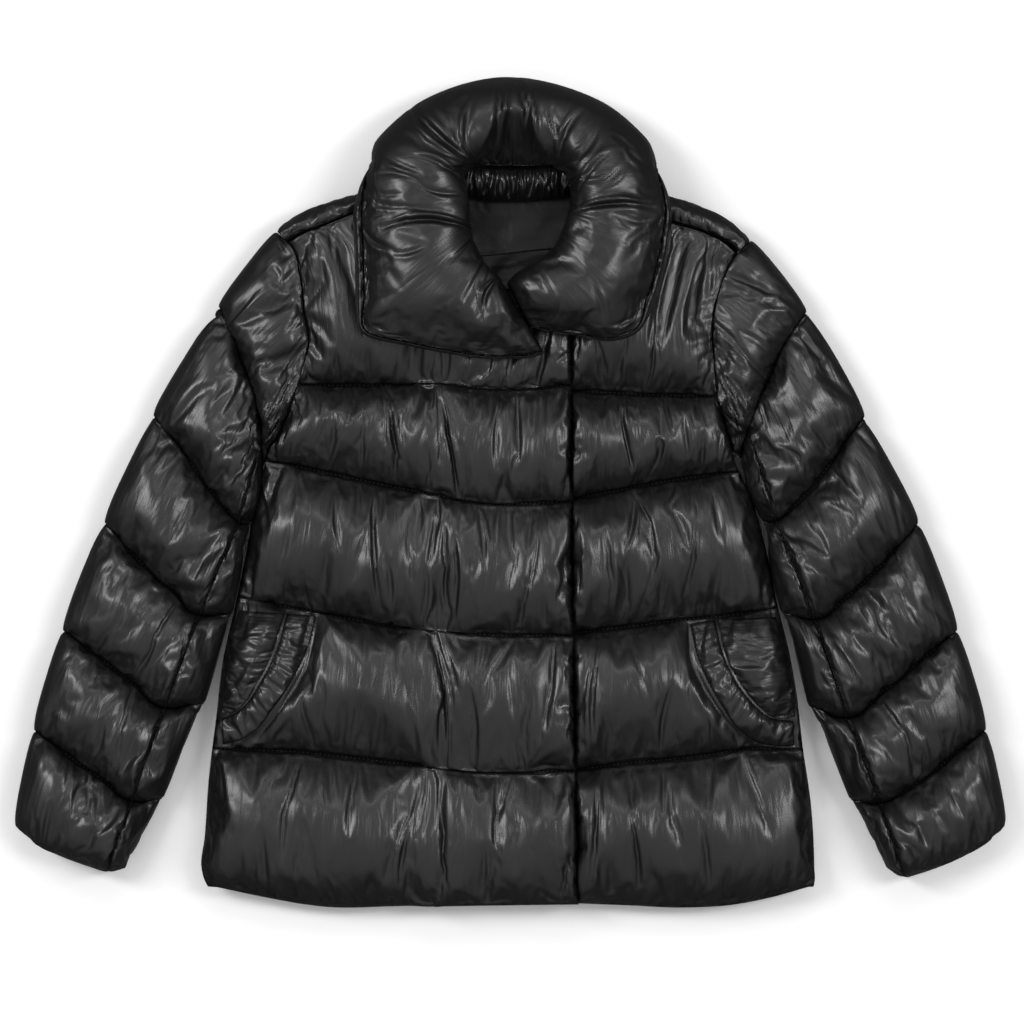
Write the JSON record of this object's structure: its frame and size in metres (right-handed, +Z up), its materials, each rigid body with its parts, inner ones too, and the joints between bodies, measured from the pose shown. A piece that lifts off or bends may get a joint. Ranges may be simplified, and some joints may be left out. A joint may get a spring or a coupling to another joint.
{
  "type": "puffer jacket",
  "caption": "Quilted puffer jacket laid flat on its back, with a wide padded collar rolled open, lapped fronts and curved pocket bands.",
  "frame": {"origin": "on the surface that the jacket lies on, under the middle of its bounding box", "axes": "+X towards the wearer's left sleeve, +Y from the hem towards the collar, +Z up out of the front"},
  "size_m": [0.9542, 0.797, 0.1092],
  "materials": {
    "shell": "glossy downproof nylon",
    "lining": "satin lining taffeta"
  },
  "bodies": {
    "root": {"back": "shell", "front_right": "shell", "front_left": "shell", "pocket_band_right": "shell", "pocket_band_left": "shell", "pocket_back_right": "shell", "pocket_back_left": "shell", "sleeve_top_right": "shell", "sleeve_top_left": "shell", "sleeve_under_right": "shell", "sleeve_under_left": "shell", "collar_top": "shell", "collar_under": "shell", "neck_band": "lining", "neck_facing": "lining", "neck_lining": "lining"}
  },
  "joints": []
}
